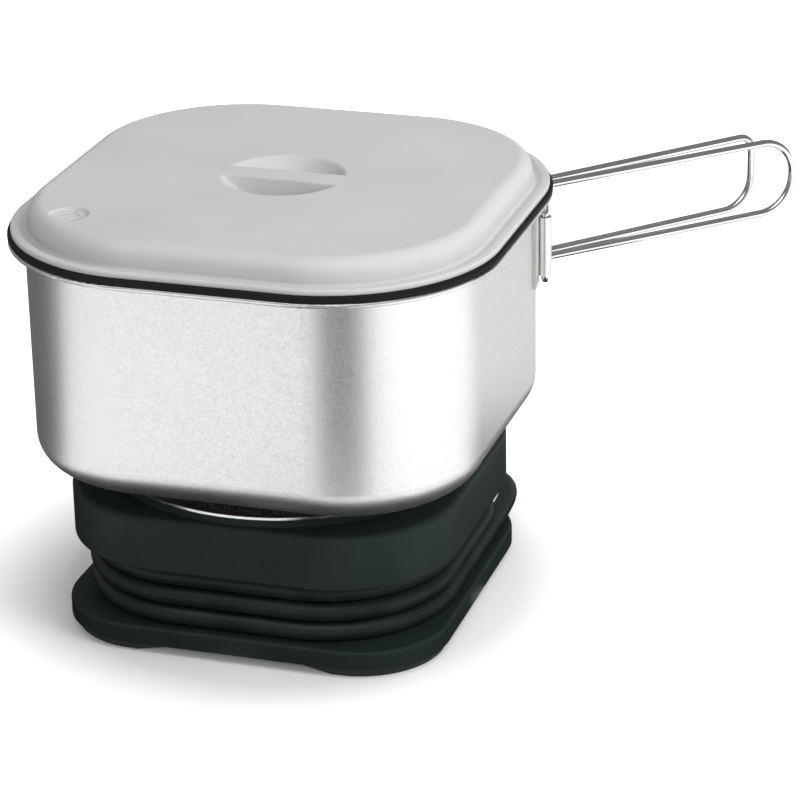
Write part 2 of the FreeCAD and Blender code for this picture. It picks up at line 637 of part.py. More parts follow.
def thermal_fuse():
    fuse_rod = cylinder("thermal_fuse", "fuse_radius", "fuse_length", "fuse_place", "-fuse_length / 2", "fuse_level", TO_Y)
    finish(fuse_rod, "thermal_fuse")
    saddle = box("clip_saddle", "2 * fuse_radius + 2 * clip_wall", "clip_width", "pan_bottom - fuse_level + fuse_radius",
                 "fuse_place - fuse_radius - clip_wall", "-clip_width / 2", "fuse_level - fuse_radius")
    bore = cylinder("clip_bore", "fuse_radius + fit_clearance", "clip_width * 2", "fuse_place", "-clip_width",
                    "fuse_level", TO_Y)
    finish(cut("fuse_clip", saddle, [bore]), "fuse_clip")


def leads():
    """Inside wiring: cord to block, block to thermostat, and through the fuse to the ring."""
    bend = value("lead_bend")
    block_x = value("-block_wall + block_width") - 8
    block_top = value("block_top")
    screw_y = value("block_screw_pitch") / 4
    high = block_top + value("lead_rise")
    case_x = value("thermostat_width") / 2
    case_y = value("thermostat_start") + value("thermostat_length") / 2
    hot = value("fuse_level")
    fuse_x = value("fuse_place")
    fuse_y = value("fuse_length") / 2
    pin_x = value("element_radius") * math.cos(math.radians(PIN_ANGLES[0]))
    pin_y = value("element_radius") * math.sin(math.radians(PIN_ANGLES[0]))
    pin_low = value("pan_bottom - pin_drop")
    neck_x = value("-core_half + bush_neck_length")
    neck_y = value("cord_start + bush_length") - value("bush_block") / 2
    cord_z = value("cord_high")
    end_y = value("block_length") / 2
    routes = {
        "lead_live": [(block_x, screw_y, block_top), (block_x, screw_y, high), (-case_x - 12, case_y, hot - 4),
                      (-case_x, case_y, hot - 4)],
        "lead_neutral": [(block_x, -screw_y, block_top), (block_x, -screw_y, high), (-pin_x, pin_y, high),
                         (-pin_x, pin_y, pin_low)],
        "lead_fuse": [(case_x, case_y, hot), (fuse_x, case_y, hot), (fuse_x, fuse_y, hot)],
        "lead_heater": [(fuse_x, -fuse_y, hot), (fuse_x, pin_y, hot), (pin_x + value("pin_radius"), pin_y, hot)],
        "cord_core": [(neck_x, neck_y, cord_z), (neck_x + 7, neck_y, cord_z), (neck_x + 7, neck_y, block_top - 5),
                      (neck_x + 7, end_y, block_top - 5)],
    }
    for name, points in routes.items():
        tight = bend if name != "cord_core" else value("lead_radius") + 1.2
        edges, _ = bent_run(points, [tight] * (len(points) - 2))
        finish(feature(name, tube(edges, value("lead_radius"))), name)


def cord_bush():
    """Strain relief lying along the core on the left side, with a neck through its wall."""
    thick = "2 * cord_radius + 0.1"
    block = box("bush_block", "cord_half - core_half + cord_radius", "bush_block", thick, "-cord_half - cord_radius",
                "cord_start + bush_length - bush_block", "cord_high - cord_radius - 0.05")
    sleeve = cone("bush_sleeve", "cord_radius + 0.05", "cord_radius", "bush_length - bush_block", "-cord_half",
                  "cord_start + bush_length - bush_block", "cord_high", TO_MINUS_Y)
    neck = cylinder("bush_neck", "bush_neck_radius", "bush_neck_length", "-core_half",
                    "cord_start + bush_length - bush_block / 2", "cord_high", TO_X)
    finish(fuse("cord_bush", [block, sleeve, neck]), "cord_bush")


def winding_edges():
    """Level turns with round corners; each steps down one pitch along the back."""
    half, corner = value("cord_half"), value("cord_corner")
    run, pitch = half - corner, value("cord_pitch")
    level = value("cord_high")
    slant = corner * math.sqrt(0.5)
    step_radius = (run * run + pitch * pitch / 4) / pitch
    edges, here = [], FreeCAD.Vector(-half, value("cord_start"), level)

    def line(x, y, z):
        there = FreeCAD.Vector(x, y, z)
        edges.append(Part.LineSegment(here, there).toShape())
        return there

    def arc(middle, there):
        there = FreeCAD.Vector(*there)
        edges.append(Part.Arc(here, FreeCAD.Vector(*middle), there).toShape())
        return there

    for lap in range(TURNS):
        here = line(-half, -run, level)
        here = arc((-run - slant, -run - slant, level), (-run, -half, level))
        here = line(run, -half, level)
        here = arc((run + slant, -run - slant, level), (half, -run, level))
        here = line(half, run, level)
        if lap == TURNS - 1:
            break
        here = arc((run + slant, run + slant, level), (run, half, level))
        swing = math.asin(run / step_radius) / 2
        drop = step_radius * (1 - math.cos(swing))
        away = step_radius * math.sin(swing)
        here = arc((run - away, half, level - drop), (0, half, level - pitch / 2))
        level -= pitch
        here = arc((-run + away, half, level + drop), (-run, half, level))
        here = arc((-run - slant, run + slant, level), (-half, run, level))
    return edges


def least_gap(edges, radius):
    """Smallest gap between turns, over points along the run that are far apart on it."""
    points, along, total = [], [], 0.0
    for edge in edges:
        steps = max(2, int(edge.Length / 6))
        for k in range(steps):
            points.append(edge.valueAt(edge.FirstParameter + (edge.LastParameter - edge.FirstParameter) * k / steps))
            along.append(total + edge.Length * k / steps)
        total += edge.Length
    far = 12 * radius
    pairs = ((points[a] - points[b]).Length for a in range(len(points)) for b in range(a)
             if along[a] - along[b] > far)
    return min(pairs) - 2 * radius


def power_cord():
    radius = value("cord_radius")
    section = math.pi * radius * radius
    edges = winding_edges()
    wound = tube(edges, radius)
    length = sum(e.Length for e in edges)
    print("winding length", round(length, 1), "least gap", round(least_gap(edges, radius), 3),
          "volume ratio", round(wound.Volume / (section * length), 4))
    finish(feature("cord_winding", wound), "cord_winding")
    start = edges[-1].valueAt(edges[-1].LastParameter)
    route, radii = bent_run([start, *TAIL])
    tail = tube(route, radius)
    tail_length = sum(e.Length for e in route)
    print("tail length", round(tail_length, 1), "radii", [round(r, 1) for r in radii],
          "volume ratio", round(tail.Volume / (section * tail_length), 4))
    finish(feature("cord_tail", tail), "cord_tail")


def plug():
    """Two flat blades in a rounded body, lying on the table behind the base."""
    end_x, end_y, end_z = TAIL[-1]
    body = doc.addObject("PartDesign::Body", "plug_block")
    sketch = body.newObject("Sketcher::SketchObject", "plug_outline")
    sketch.AttachmentSupport = [(origin_plane(body, "XY_Plane"), "")]
    sketch.MapMode = "FlatFace"
    long, wide = value("plug_length"), value("plug_width")
    spots = [(-long, -wide / 2), (0, -wide / 2), (0, wide / 2), (-long, wide / 2)]
    for k in range(4):
        sketch.addGeometry(Part.LineSegment(FreeCAD.Vector(*spots[k]), FreeCAD.Vector(*spots[(k + 1) % 4])), False)
        sketch.addConstraint(Sketcher.Constraint("Horizontal" if k % 2 == 0 else "Vertical", k))
    for k in range(4):
        sketch.addConstraint(Sketcher.Constraint("Coincident", k, 2, (k + 1) % 4, 1))
    for title, constraint, text in [
            ("length", Sketcher.Constraint("DistanceX", 0, 1, 0, 2, long), "plug_length"),
            ("width", Sketcher.Constraint("DistanceY", 1, 1, 1, 2, wide), "plug_width"),
            ("half_width", Sketcher.Constraint("DistanceY", 1, 1, -1, 1, wide / 2), "plug_width / 2")]:
        index = sketch.addConstraint(constraint)
        sketch.renameConstraint(index, title)
        sketch.setExpression(f"Constraints.{title}", formula(text))
    sketch.addConstraint(Sketcher.Constraint("PointOnObject", 1, 1, -2))
    slab = body.newObject("PartDesign::Pad", "plug_slab")
    slab.Profile = sketch
    bind(slab, Length="plug_thickness")
    doc.recompute()
    names = [f"Edge{n}" for n in range(1, len(slab.Shape.Edges) + 1)]
    round_edges(body, "plug_edges", slab, names, "plug_round")
    front = f"{end_x} - plug_sleeve + 2"
    place(body, front, str(end_y), "0")
    sleeve = cone("plug_sleeve", "plug_sleeve_radius", "cord_radius + 0.3", "plug_sleeve", f"{end_x} - plug_sleeve",
                  str(end_y), "plug_level", TO_X)
    seat = [box(f"blade_slot_{n}", "blade_length", "blade_width", "blade_thickness",
                f"{end_x} - plug_sleeve + 2 - plug_length - blade_length + 4",
                f"{end_y} + {s} * blade_pitch / 2 - blade_width / 2", "plug_level - blade_thickness / 2")
            for n, s in ((1, -1), (2, 1))]
    finish(cut("plug_body", fuse("plug_solid", [body, sleeve]), seat), "plug_body")
    blades = [box(f"blade_{n}", "blade_length", "blade_width", "blade_thickness",
                  f"{end_x} - plug_sleeve + 2 - plug_length - blade_length + 4",
                  f"{end_y} + {s} * blade_pitch / 2 - blade_width / 2", "plug_level - blade_thickness / 2")
              for n, s in ((1, -1), (2, 1))]
    finish(group("plug_blades", blades), "plug_blades")


def pot_shell():
    """Pressed pot with a rounded bottom edge and a rolled rim."""
    wall = prism("pot_outer", "pot_half", "pot_radius", "plate_top", "pot_height", low_round="pot_low_round")
    rim = prism("pot_rim", "rim_half", "rim_radius", "rim_bottom", "rim_height", "rim_round", "rim_round")
    room = prism("pot_room", "pot_half - pot_wall", "pot_radius - pot_wall", "plate_top + pot_wall", "pot_height",
                 low_round="pot_low_round - pot_wall")
    finish(cut("pot_shell", fuse("pot_solid", [wall, rim]), [room]), "pot_shell")


def corner_spot(angle, radius):
    """A place round the pot's corner: the angle is from the diagonal, towards the front if negative."""
    turn = math.radians(45 + angle)
    centre = value("pot_corner")
    return centre + radius * math.cos(turn), centre + radius * math.sin(turn)


def handle_bracket():
    """Strap round the pot's corner with a rolled knuckle at each side."""
    sector = []
    for name, radius in (("strap_outer", "bracket_outer"), ("strap_inner", "bracket_inner")):
        made = cylinder(name, radius, "bracket_height", "pot_corner", "pot_corner", "bracket_bottom")
        bind(made, Angle="2 * bracket_half_angle")
        made.Placement = FreeCAD.Placement(FreeCAD.Vector(), FreeCAD.Rotation(
            FreeCAD.Vector(0, 0, 1), 45 - value("bracket_half_angle")))
        sector.append(place(made, "pot_corner", "pot_corner", "bracket_bottom"))
    strap = cut("strap", sector[0], [sector[1]])
    knuckles, bores = [], []
    for n, sign in ((1, -1), (2, 1)):
        x = f"pot_corner + knuckle_place * cos(45 deg + {sign} * knuckle_angle * 1 deg)"
        y = f"pot_corner + knuckle_place * sin(45 deg + {sign} * knuckle_angle * 1 deg)"
        knuckles.append(cylinder(f"knuckle_{n}", "knuckle_radius", "knuckle_height", x, y, "knuckle_bottom"))
        bores.append(cylinder(f"knuckle_bore_{n}", "wire_radius + wire_clearance", "knuckle_height * 2", x, y,
                              "knuckle_bottom - knuckle_height / 2"))
    finish(cut("handle_bracket", fuse("strap_knuckles", [strap, *knuckles]), bores), "handle_bracket")


def bracket_rivets():
    """Domed heads on the strap, two to each side of the diagonal."""
    heads = []
    sunk = "(bracket_outer + rivet_head - rivet_radius)"
    drum = cylinder("rivet_drum", "bracket_outer", "3 * bracket_height", "pot_corner", "pot_corner",
                    "bracket_bottom - bracket_height")
    for n, (sign, rise) in enumerate(((-1, 0.28), (1, 0.28), (-1, 0.72), (1, 0.72)), 1):
        angle = f"(45 deg + {sign} * rivet_angle * 1 deg)"
        ball = bind(doc.addObject("Part::Sphere", f"rivet_ball_{n}"), Radius="rivet_radius")
        place(ball, f"pot_corner + {sunk} * cos{angle}", f"pot_corner + {sunk} * sin{angle}",
              f"bracket_bottom + bracket_height * {rise}")
        heads.append(cut(f"rivet_{n}", ball, [drum]))
    finish(group("bracket_rivets", heads), "bracket_rivets")


def handle_loop(name, sign, angle, reach, offset, sag, top_bend, low_bend):
    """A wire loop: a pin in each end of its knuckle, an elbow at the corner and a long U."""
    knuckle_x, knuckle_y = corner_spot(sign * value("knuckle_angle"), value("knuckle_place"))
    away = math.radians(45)
    start = value("loop_start")
    elbow_x = start * math.cos(away) - sign * offset * math.sin(away)
    elbow_y = start * math.sin(away) + sign * offset * math.cos(away)
    heading = math.radians(angle)
    tip_x, tip_y = elbow_x + reach * math.cos(heading), elbow_y + reach * math.sin(heading)
    top = value("loop_top") - sag
    low = top - value("loop_height")
    pin = value("wire_pin")
    points = [
        (knuckle_x, knuckle_y, top - pin), (knuckle_x, knuckle_y, top), (elbow_x, elbow_y, top),
        (tip_x, tip_y, top), (tip_x, tip_y, low), (elbow_x, elbow_y, low), (knuckle_x, knuckle_y, low),
        (knuckle_x, knuckle_y, low + pin)]
    hook, elbow = value("wire_bend"), value("elbow_bend")
    edges, _ = bent_run(points, [hook, elbow, top_bend, low_bend, elbow, hook])
    finish(feature(name, tube(edges, value("wire_radius"))), name)


def handle_loops():
    round_end = value("loop_height") / 2 - 0.05
    handle_loop("handle_loop_near", -1, value("near_angle"), value("near_reach"), value("near_offset"), 0.0,
                round_end, round_end)
    handle_loop("handle_loop_far", 1, value("far_angle"), value("far_reach"), value("far_offset"), value("far_sag"),
                value("far_top_bend"), value("far_low_bend"))


def seal_ring():
    outer = prism("seal_outer", "seal_half", "seal_radius", "rim_top", "seal_height", "seal_round", "seal_round")
    inner = prism("seal_inner", "skirt_half + seal_fit", "skirt_radius + seal_fit", "rim_top", "seal_height")
    finish(cut("lid_seal", outer, [inner]), "lid_seal")


def lid_cover():
    """Flange, raised crown with a dished grip, a vent, and a skirt that enters the pot."""
    body = doc.addObject("PartDesign::Body", "lid_outer")
    flange = pad(body, "lid_flange", "lid_flange_half", "lid_flange_radius", "lid_low", "lid_flange")
    edge = round_edges(body, "lid_flange_edge", flange, edges_at(flange.Shape, value("lid_low + lid_flange")),
                       "lid_flange_round")
    crown = pad(body, "lid_crown", "crown_half", "crown_radius", "lid_low", "crown_height")
    top = round_edges(body, "lid_crown_edge", crown, edges_at(crown.Shape, value("lid_top")), "crown_round")
    level = value("lid_low + lid_flange")
    foot = [n for n in edges_at(top.Shape, level) if n not in edges_at(top.Shape, level, value("crown_half") + 0.5)]
    round_edges(body, "lid_cove", top, foot, "cove_round")
    room = prism("lid_room", "crown_half - lid_wall", "crown_radius - lid_wall", "lid_low", "crown_height - lid_wall",
                 "crown_round - lid_wall")
    skirt_out = prism("lid_skirt_out", "skirt_half", "skirt_radius", "lid_low - lid_skirt", "lid_skirt + lid_flange")
    skirt_in = prism("lid_skirt_in", "skirt_half - lid_skirt_wall", "skirt_radius - lid_skirt_wall",
                     "lid_low - lid_skirt", "lid_skirt + crown_height - lid_wall")
    bowl = bind(doc.addObject("Part::Sphere", "bowl_ball"), Radius="scoop_ball + lid_wall")
    place(bowl, z="lid_top + scoop_ball - scoop_depth")
    slab = cylinder("bowl_slab", "scoop_radius + lid_wall", "scoop_depth + lid_wall",
                    z="lid_top - scoop_depth - lid_wall - 0.5")
    bowl = common("bowl", slab, bowl)
    shell = cut("lid_shell", body, [room])
    skirt = cut("lid_skirt_ring", skirt_out, [skirt_in])
    ball = bind(doc.addObject("Part::Sphere", "scoop_ball_body"), Radius="scoop_ball")
    place(ball, z="lid_top + scoop_ball - scoop_depth")
    grip = box("grip_bar", "4 * scoop_radius", "grip_width", "4 * scoop_ball", "-2 * scoop_radius",
               "-grip_width / 2", "lid_top - 2 * scoop_depth")
    scoops = cut("scoops", ball, [grip])
    whole = fuse("lid_whole", [shell, skirt, bowl])
    finish(cut("lid_cover", whole, [scoops, *vent_tools()]), "lid_cover")


def vent_tools():
    tools = [cylinder("vent_dish", "vent_radius", "vent_depth + 1", "vent_x", "vent_y", "lid_top - vent_depth")]
    slant = FreeCAD.Rotation(FreeCAD.Vector(0, 0, 1), 135)
    for n in (-1, 0, 1):
        slot = bind(doc.addObject("Part::Box", f"vent_slot_{n + 2}"), Length="slot_length", Width="slot_width",
                    Height="lid_wall * 3")
        slot.Placement = FreeCAD.Placement(FreeCAD.Vector(), slant)
        along, across = "slot_length / 2", f"({n} * slot_pitch - slot_width / 2)"
        place(slot, f"vent_x - {along} * cos(135 deg) - {across} * sin(135 deg)",
              f"vent_y - {along} * sin(135 deg) + {across} * cos(135 deg)", "lid_top - lid_wall * 2")
        tools.append(slot)
    return tools


def build():
    fill_sheets()
    for make in (lower_housing, service_cover, feet, upper_housing, housing_screws, heat_pan, hot_plate,
                 heating_element, plate_fixing, thermostat, dial, pilot_lamp, terminal_block, thermal_fuse,
                 leads, cord_bush, power_cord, plug, pot_shell, handle_bracket, bracket_rivets, handle_loops,
                 seal_ring, lid_cover):
        make()
    doc.recompute()


def check():
    for thing in doc.Objects:
        bad = [state for state in thing.State if state in ("Invalid", "Error")]
        if bad:
            raise RuntimeError(f"{thing.Label} did not build: {bad}")
    for piece in pieces:
        if piece.Shape.isNull() or not piece.Shape.isValid() or not piece.Shape.Solids:
            raise RuntimeError(f"{piece.Label} has no sound solid")


def write():
    os.makedirs("parts", exist_ok=True)
    for piece in pieces:
        piece.Shape.exportStep(f"parts/{piece.Label}.step")
    print(len(pieces), "pieces")


build()
check()
write()
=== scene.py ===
import json
import math

import bpy
from mathutils import Matrix, Vector


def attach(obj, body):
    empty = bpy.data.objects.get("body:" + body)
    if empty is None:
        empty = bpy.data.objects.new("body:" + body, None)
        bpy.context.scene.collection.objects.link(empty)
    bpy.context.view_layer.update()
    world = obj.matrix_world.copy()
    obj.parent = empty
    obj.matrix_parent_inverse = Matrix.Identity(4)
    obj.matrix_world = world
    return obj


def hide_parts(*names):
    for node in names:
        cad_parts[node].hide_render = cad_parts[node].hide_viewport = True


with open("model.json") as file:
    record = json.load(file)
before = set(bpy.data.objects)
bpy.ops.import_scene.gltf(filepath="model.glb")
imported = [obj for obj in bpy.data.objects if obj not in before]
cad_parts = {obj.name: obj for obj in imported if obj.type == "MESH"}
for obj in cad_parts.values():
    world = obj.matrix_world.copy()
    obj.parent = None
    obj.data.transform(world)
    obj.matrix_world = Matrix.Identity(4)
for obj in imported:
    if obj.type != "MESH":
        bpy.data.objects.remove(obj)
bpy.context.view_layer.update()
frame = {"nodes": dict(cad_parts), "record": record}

nodes = frame["nodes"]


# Objects of any kind

def new_object(name, data):
    thing = bpy.data.objects.new(name, data)
    bpy.context.collection.objects.link(thing)
    return thing


def new_mesh(name, points, faces, material):
    data = bpy.data.meshes.new(name)
    data.from_pydata(points, [], faces)
    data.materials.append(material)
    return new_object(name, data)


def new_tube(name, kind, points, radius, material):
    """A round tube with closed ends, along a spline of the given kind."""
    curve = bpy.data.curves.new(name, "CURVE")
    curve.dimensions = "3D"
    curve.bevel_depth = radius
    curve.bevel_resolution = 6
    curve.use_fill_caps = True
    curve.materials.append(material)
    spline = curve.splines.new(kind)
    spline.points.add(len(points) - 1)
    for point, place in zip(spline.points, points):
        point.co = (*place, 1.0)
    spline.use_smooth = True
    return new_object(name, curve)


# Camera, at the photograph's viewing angle

def add_camera():
    data = bpy.data.cameras.new("camera")
    data.sensor_fit = "HORIZONTAL"
    data.sensor_width = 36.0
    data.lens = 144.098
    data.clip_start = 0.05
    data.clip_end = 50.0
    camera = new_object("camera", data)
    place = Vector((0.32135, -0.88994, 0.45936))
    right = Vector((0.954436, 0.297938, -0.016865))
    up = Vector((-0.100375, 0.373745, 0.922084))
    forward = Vector((-0.281027, 0.878378, -0.386621))
    turn = Matrix((right, up, -forward)).transposed().to_4x4()
    camera.matrix_world = Matrix.Translation(place) @ turn
    bpy.context.scene.camera = camera


# Materials, by the names of the record's slots

LOOKS = {
    "housing_black": dict(first=(0.0105, 0.0173, 0.0170), second=(0.0136, 0.0217, 0.0211),
                          rough=(0.48, 0.62), patch=60, grain=2600, depth=0.00003, strength=0.35,
                          specular=0.19),
    "inner_plastic": dict(first=(0.03, 0.03, 0.03), second=(0.05, 0.05, 0.048), rough=(0.5, 0.65)),
    "foot_rubber": dict(first=(0.010, 0.013, 0.013), second=(0.016, 0.019, 0.019), rough=(0.6, 0.78),
                        grain=2200, depth=0.00004, strength=0.4, specular=0.35),
    "cord_rubber": dict(first=(0.0062, 0.0097, 0.0097), second=(0.0105, 0.0149, 0.0149), rough=(0.40, 0.54),
                        patch=90, grain=2400, depth=0.00003, strength=0.3, specular=0.32),
    "seal_rubber": dict(first=(0.005, 0.006, 0.006), second=(0.008, 0.009, 0.009), rough=(0.6, 0.75),
                        grain=2200, depth=0.00003, strength=0.3, specular=0.18),
    "pot_steel": dict(first=(0.70, 0.697, 0.685), second=(0.79, 0.787, 0.775), rough=(0.33, 0.45), metal=1.0,
                      patch=2100, grain=1500, depth=0.00004, strength=0.22),
    "wire_steel": dict(first=(0.62, 0.62, 0.61), second=(0.70, 0.70, 0.69), rough=(0.08, 0.14), metal=1.0,
                       patch=60, grain=2500, depth=0.00001, strength=0.12),
    "bracket_steel": dict(first=(0.70, 0.70, 0.69), second=(0.76, 0.76, 0.75), rough=(0.28, 0.38), metal=1.0,
                          patch=50, grain=1900, depth=0.00002, strength=0.1),
    "pan_steel": dict(first=(0.66, 0.66, 0.65), second=(0.78, 0.78, 0.77), rough=(0.18, 0.28), metal=1.0,
                      patch=50, grain=1400, depth=0.00002, strength=0.2),
    "plate_metal": dict(first=(0.020, 0.020, 0.021), second=(0.034, 0.034, 0.035), rough=(0.50, 0.66),
                        metal=0.4, patch=70, grain=1500, depth=0.00005, strength=0.4),
    "element_metal": dict(first=(0.10, 0.09, 0.08), second=(0.17, 0.15, 0.13), rough=(0.42, 0.6), metal=0.8,
                          patch=80, grain=1600, depth=0.00004, strength=0.35),
    "fixing_steel": dict(first=(0.52, 0.52, 0.51), second=(0.64, 0.64, 0.63), rough=(0.25, 0.38), metal=1.0,
                         patch=120, grain=2200),
    "ceramic": dict(first=(0.70, 0.67, 0.60), second=(0.80, 0.78, 0.72), rough=(0.35, 0.5), patch=150),
    "lid_plastic": dict(first=(0.522, 0.522, 0.512), second=(0.556, 0.556, 0.545), rough=(0.50, 0.60),
                        patch=22, grain=1500, depth=0.00003, strength=0.18, specular=0.25),
    "dial_plastic": dict(first=(0.010, 0.013, 0.013), second=(0.017, 0.020, 0.020), rough=(0.40, 0.55),
                         patch=120, grain=2600, depth=0.00003, strength=0.3),
    "lamp_red": dict(first=(0.38, 0.012, 0.008), second=(0.50, 0.02, 0.012), rough=(0.10, 0.18),
                     patch=300, grain=900, depth=0.00002, strength=0.15),
    "lead_sleeve": dict(first=(0.55, 0.52, 0.44), second=(0.66, 0.63, 0.55), rough=(0.5, 0.65),
                        grain=1800, depth=0.00005, strength=0.5),
    "blade_brass": dict(first=(0.66, 0.50, 0.26), second=(0.76, 0.60, 0.34), rough=(0.2, 0.34), metal=1.0,
                        patch=120, grain=1800),
    "fuse_metal": dict(first=(0.50, 0.48, 0.44), second=(0.62, 0.60, 0.56), rough=(0.28, 0.4), metal=1.0,
                       patch=150, grain=2000),
}
LENS_CLEARNESS = 0.35
PATCH_DETAIL, GRAIN_DETAIL = 4.0, 3.0
PATCH_EDGES = (0.35, 0.65)
GRAIN_EDGES = (0.3, 0.7)


def new_material(name):
    material = bpy.data.materials.new(name)
    material.use_nodes = True
    return material, material.node_tree.nodes["Principled BSDF"]


def noise(tree, scale, detail):
    place = tree.nodes.new("ShaderNodeTexCoord")
    texture = tree.nodes.new("ShaderNodeTexNoise")
    texture.inputs["Scale"].default_value = scale
    texture.inputs["Detail"].default_value = detail
    tree.links.new(place.outputs["Object"], texture.inputs["Vector"])
    return texture.outputs["Fac"]


def spread(tree, source, edges, values):
    """The source's range between two edges, stretched between two values."""
    step = tree.nodes.new("ShaderNodeMapRange")
    step.inputs["From Min"].default_value, step.inputs["From Max"].default_value = edges
    step.inputs["To Min"].default_value, step.inputs["To Max"].default_value = values
    tree.links.new(source, step.inputs["Value"])
    return step.outputs["Result"]


def mix_colours(tree, source, colours):
    ramp = tree.nodes.new("ShaderNodeValToRGB")
    for element, position, colour in zip(ramp.color_ramp.elements, PATCH_EDGES, colours):
        element.position = position
        element.color = (*colour, 1.0)
    tree.links.new(source, ramp.inputs["Fac"])
    return ramp.outputs["Color"]


def relief(tree, height, distance, strength):
    node = tree.nodes.new("ShaderNodeBump")
    node.inputs["Distance"].default_value = distance
    node.inputs["Strength"].default_value = strength
    tree.links.new(height, node.inputs["Height"])
    return node.outputs["Normal"]


def surface(name, first, second, rough, metal=0.0, patch=40.0, grain=1500.0, depth=0.00002, strength=0.3,
            specular=0.5):
    """Two shades in soft patches, roughness that varies with the fine grain, and the grain as relief."""
    material, shader = new_material(name)
    tree = material.node_tree
    shader.inputs["Metallic"].default_value = metal
    shader.inputs["Specular IOR Level"].default_value = specular
    patches = noise(tree, patch, PATCH_DETAIL)
    tree.links.new(mix_colours(tree, patches, (first, second)), shader.inputs["Base Color"])
    fine = noise(tree, grain, GRAIN_DETAIL)
    tree.links.new(spread(tree, fine, GRAIN_EDGES, rough), shader.inputs["Roughness"])
    tree.links.new(relief(tree, fine, depth, strength), shader.inputs["Normal"])
    return material


def make_materials():
    made = {name: surface(name, **look) for name, look in LOOKS.items()}
    lens = made["lamp_red"].node_tree.nodes["Principled BSDF"]
    lens.inputs["Transmission Weight"].default_value = LENS_CLEARNESS
    return made


def dress_nodes(materials):
    for part in frame["record"]["subparts"]:
        thing = nodes[part["node"]]
        thing.data.materials.clear()
        thing.data.materials.append(materials[part["material_slot"]])


# Power cord: three turns round the waist, then the free end to the plug

# The turns' middle line is a rounded square that starts at the cord's exit and drops by a pitch each turn
CORD_RADIUS = 0.00315
CORD_HALF = 0.0572
CORD_CORNER = 0.0378
CORD_PITCH = 0.00675
CORD_TOP = 0.02575
CORD_START = (-CORD_HALF, 0.001, CORD_TOP)
TURNS = 3
CORNER_POINTS = 4
BACK_SIDE = 3
TAIL = [(0.0572, 0.0410, 0.01225), (0.0557, 0.0624, 0.0120), (0.0443, 0.0807, 0.0080),
        (0.0255, 0.0911, 0.0055), (0.0040, 0.0911, 0.0055)]


def winding_points():
    """Control points whose edges touch the turns at their middles: four at each corner, two on each side.

    The cord drops by one pitch along the back side, where a third point marks the middle of the drop.
    """
    run = CORD_HALF - CORD_CORNER
    step = math.pi / 2 / CORNER_POINTS
    reach = CORD_CORNER / math.cos(step / 2)
    inset = run - CORD_CORNER * math.tan(step / 2)
    level = CORD_TOP
    points = [CORD_START]
    # The last turn stops on the right side, where the tail takes over
    last = 4 * TURNS - 2
    for side in range(last + 1):
        facing = math.pi + side % 4 * math.pi / 2
        out = Vector((math.cos(facing), math.sin(facing)))
        along = Vector((-math.sin(facing), math.cos(facing)))
        if side > 0:
            points.append((*(out * CORD_HALF - along * inset), level))
        if side % 4 == BACK_SIDE:
            points.append((*(out * CORD_HALF), level - CORD_PITCH / 2))
            level -= CORD_PITCH
        points.append((*(out * CORD_HALF + along * inset), level))
        if side < last:
            middle = (out + along) * run
            for k in range(CORNER_POINTS):
                turn = facing + (k + 0.5) * step
                points.append((middle.x + reach * math.cos(turn), middle.y + reach * math.sin(turn), level))
    return points


def add_cord(material):
    cord = new_tube("power_cord", "NURBS", winding_points() + TAIL, CORD_RADIUS, material)
    cord.data.resolution_u = 10
    spline = cord.data.splines[0]
    spline.order_u = 3
    spline.use_endpoint_u = True
    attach(cord, "base")
    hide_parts("cord_winding", "cord_tail")


# Lid moulding, one closed skin of rings from the middle of its top to the middle of its underside

# Its flat top ends at an edge, a rounded square; the grip, the vent's dish and its slots are carved into it
LID_TOP = 0.1396
LID_WALL = 0.002
LID_EDGE = 0.0670
LID_CORNER = 0.0420
SHOULDER = 0.0046
GRIP_RADIUS = 0.0192
GRIP_DEPTH = 0.0072
GRIP_CURVE = 3.2
GRIP_RIM = 0.0009
BAR_TOP, BAR_FOOT = 0.0044, 0.0052
VENT = (-0.051, -0.051)
DISH_DEPTH = 0.0009
DISH_RIM, DISH_FLOOR = 0.0063, 0.0057
SLOT_DEPTH = 0.0027
SLOT_PITCH = 0.0028
SLOT_SIDES = (0.00075, 0.00045)
SLOT_ENDS = (0.0034, 0.0030)
BOSS_DEPTH = 0.0026
BOSS_FOOT, BOSS_TOP = 0.0090, 0.0068

# Half widths of the top's rings as (from, to, step): closest at the bar, the grip's rim and the vent
CIRCLES_END, OUTLINE_START = 0.0212, 0.0562
RING_STEPS = ((0.0006, 0.0042, 0.0012), (0.0042, 0.0066, 0.0001), (0.0066, 0.0106, 0.0002),
              (0.0106, 0.0156, 0.0004), (0.0156, CIRCLES_END, 0.0002), (CIRCLES_END, OUTLINE_START, 0.0025),
              (OUTLINE_START, LID_EDGE, 0.0003))

# The underside repeats every eighth ring of the top, up to an edge of its own and with tighter corners
UNDER_EVERY = 8
UNDER_EDGE = 0.0640
UNDER_ROUNDNESS = 0.89

# Bearings round the lid, and more of them over the vent
ROUND_STEPS = 400
VENT_STEPS = 85
VENT_BEARING, VENT_REACH = math.radians(225), math.radians(6.4)


def bearings():
    places = [2 * math.pi * k / ROUND_STEPS for k in range(ROUND_STEPS)]
    places += [VENT_BEARING + VENT_REACH * (2 * k / VENT_STEPS - 1) for k in range(1, VENT_STEPS)]
    return sorted(places)


def ring_reach(half, corner, bearing):
    """Distance from the middle to a rounded square's edge, along a bearing."""
    across, up = abs(math.cos(bearing)), abs(math.sin(bearing))
    inner = half - corner
    if across > 0 and half * up / across <= inner:
        return half / across
    if up > 0 and half * across / up <= inner:
        return half / up
    return inner * (across + up) + math.sqrt(max(corner * corner - (inner * (across - up)) ** 2, 0.0))


def ease(value, low, high):
    """A smooth step from 0 at low to 1 at high."""
    share = min(max((value - low) / (high - low), 0.0), 1.0)
    return share * share * (3 - 2 * share)


